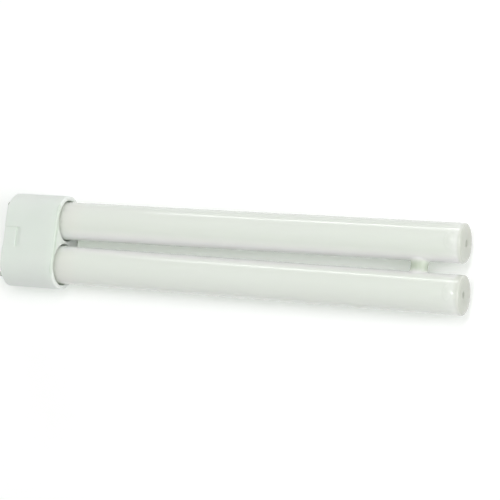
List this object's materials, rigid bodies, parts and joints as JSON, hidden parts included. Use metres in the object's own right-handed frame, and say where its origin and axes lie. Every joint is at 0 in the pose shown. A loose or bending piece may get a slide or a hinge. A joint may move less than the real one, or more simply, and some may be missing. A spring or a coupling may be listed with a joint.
{
  "type": "four pin compact fluorescent lamp",
  "caption": "Long twin tube fluorescent lamp: two coated glass legs joined by a bridge, held in a white moulded cap with contact pins in one line.",
  "frame": {"origin": "centre of the cap's seating face, in the mouth of its keyway", "axes": "+X along the lamp from the seating face towards the far ends of the glass, +Y across the two legs, +Z out of the cap's broad face"},
  "size_m": [0.2257, 0.0434, 0.023],
  "materials": {
    "coated_glass": "smooth clear glass over an opaque white powder coating",
    "cap_plastic": "satin white moulding",
    "plated_pin": "bright nickel plate on brass",
    "lead_metal": "bare nickel iron wire",
    "basing_cement": "dull cured cement"
  },
  "bodies": {
    "root": {"discharge_tube": "coated_glass", "cap_housing": "cap_plastic", "contact_pin_1": "plated_pin", "contact_pin_2": "plated_pin", "contact_pin_3": "plated_pin", "contact_pin_4": "plated_pin", "lead_wire_1": "lead_metal", "lead_wire_2": "lead_metal", "lead_wire_3": "lead_metal", "lead_wire_4": "lead_metal", "cement_ring_1": "basing_cement", "cement_ring_2": "basing_cement"}
  },
  "joints": []
}
